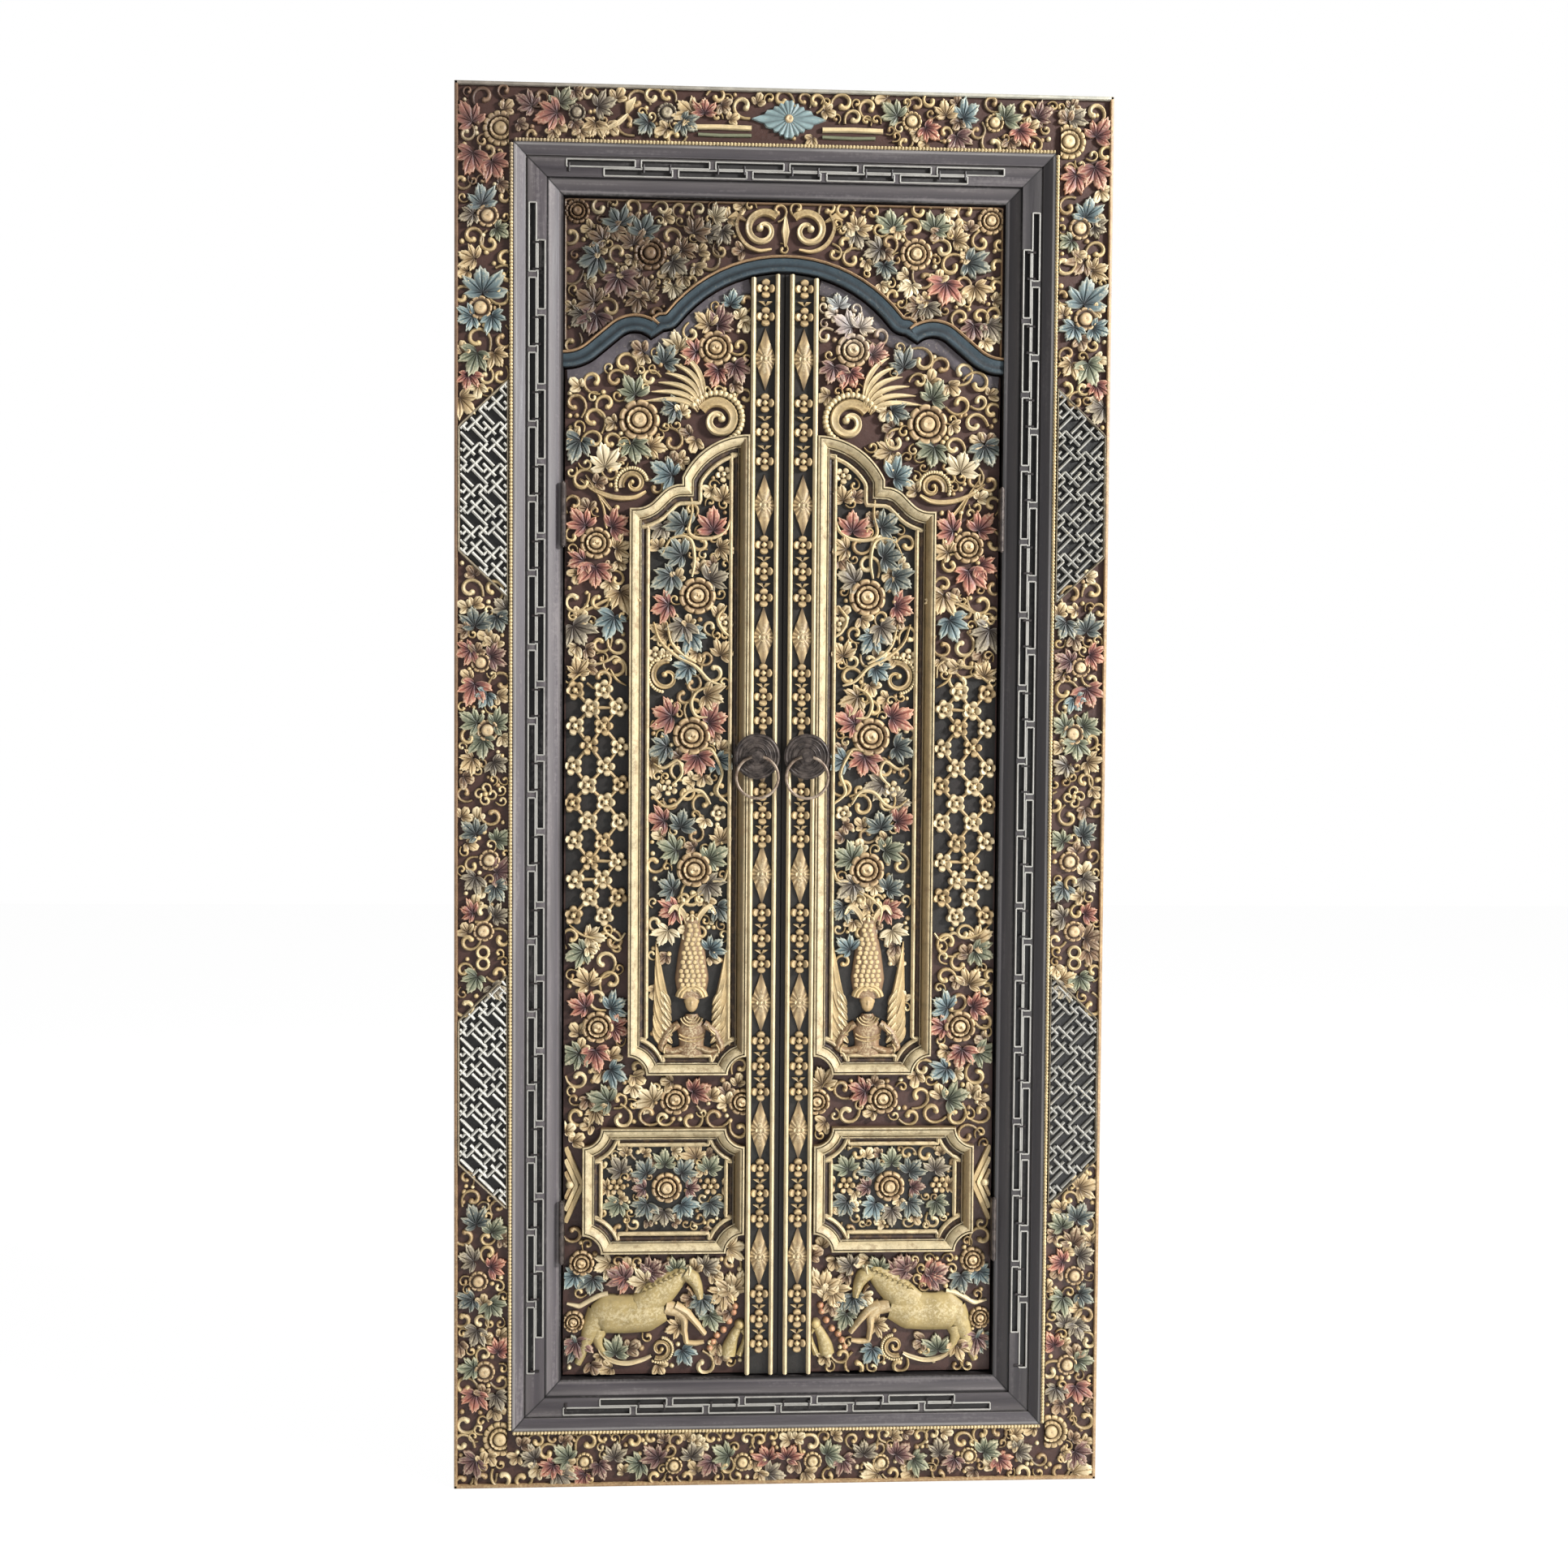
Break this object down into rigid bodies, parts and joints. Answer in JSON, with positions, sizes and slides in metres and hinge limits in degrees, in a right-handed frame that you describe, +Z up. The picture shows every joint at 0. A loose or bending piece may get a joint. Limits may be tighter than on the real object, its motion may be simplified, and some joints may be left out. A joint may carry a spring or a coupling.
{
  "type": "carved wooden double door with frame",
  "caption": "Double door of carved and gilt wood in a moulded black frame with carved casing, scalloped transom, panelled leaves and iron ring pulls.",
  "frame": {"origin": "middle of the foot of the frame, halfway through its depth", "axes": "+Z up, +X to the viewer's right, the carved front faces -Y"},
  "size_m": [1.04, 0.1, 2.23],
  "materials": {
    "bare_wood": "dull brown",
    "carved_casing": "worn gilding and paint on carved wood",
    "frame_black": "weathered black paint",
    "gilt_moulding": "worn gilding",
    "iron": "dark, rubbed bright at the edges",
    "leaf_wood": "worn gilding and paint on carved wood",
    "panel_wood": "worn gilding over dark green ground",
    "ring_steel": "browned by handling"
  },
  "bodies": {
    "frame": {"casing_bottom": "carved_casing", "casing_top": "carved_casing", "head": "frame_black", "left_casing": "carved_casing", "left_jamb": "frame_black", "left_lower_hinge_frame_plate": "iron", "left_lower_hinge_pin": "iron", "left_stop": "bare_wood", "left_upper_hinge_frame_plate": "iron", "left_upper_hinge_pin": "iron", "right_casing": "carved_casing", "right_jamb": "frame_black", "right_lower_hinge_frame_plate": "iron", "right_lower_hinge_pin": "iron", "right_stop": "bare_wood", "right_upper_hinge_frame_plate": "iron", "right_upper_hinge_pin": "iron", "sill": "frame_black", "stop_bottom": "bare_wood", "transom_panel": "leaf_wood"},
    "left_leaf": {"left_leaf_board": "leaf_wood", "left_lower_hinge_leaf_plate": "iron", "left_meeting_stile": "leaf_wood", "left_pull_knob": "iron", "left_pull_nut": "iron", "left_pull_plate": "iron", "left_small_moulding": "gilt_moulding", "left_small_panel": "panel_wood", "left_tall_moulding": "gilt_moulding", "left_tall_panel": "panel_wood", "left_upper_hinge_leaf_plate": "iron"},
    "right_leaf": {"right_leaf_board": "leaf_wood", "right_lower_hinge_leaf_plate": "iron", "right_meeting_stile": "leaf_wood", "right_pull_knob": "iron", "right_pull_nut": "iron", "right_pull_plate": "iron", "right_small_moulding": "gilt_moulding", "right_small_panel": "panel_wood", "right_tall_moulding": "gilt_moulding", "right_tall_panel": "panel_wood", "right_upper_hinge_leaf_plate": "iron"},
    "left_ring": {"left_pull_ring": "ring_steel"},
    "right_ring": {"right_pull_ring": "ring_steel"}
  },
  "joints": [
    {"name": "left_leaf_hinge", "type": "hinge", "parent": "frame", "child": "left_leaf", "pos_m": [-0.3505, -0.0325, 1], "axis": [0, 0, -1], "range_deg": [0, 100]},
    {"name": "right_leaf_hinge", "type": "hinge", "parent": "frame", "child": "right_leaf", "pos_m": [0.3505, -0.0325, 1], "axis": [0, 0, 1], "range_deg": [0, 100]},
    {"name": "left_ring_swing", "type": "hinge", "parent": "left_leaf", "child": "left_ring", "pos_m": [-0.04, -0.037, 1.178], "axis": [-1, 0, 0], "range_deg": [0, 150]},
    {"name": "right_ring_swing", "type": "hinge", "parent": "right_leaf", "child": "right_ring", "pos_m": [0.04, -0.037, 1.178], "axis": [-1, 0, 0], "range_deg": [0, 150]}
  ]
}
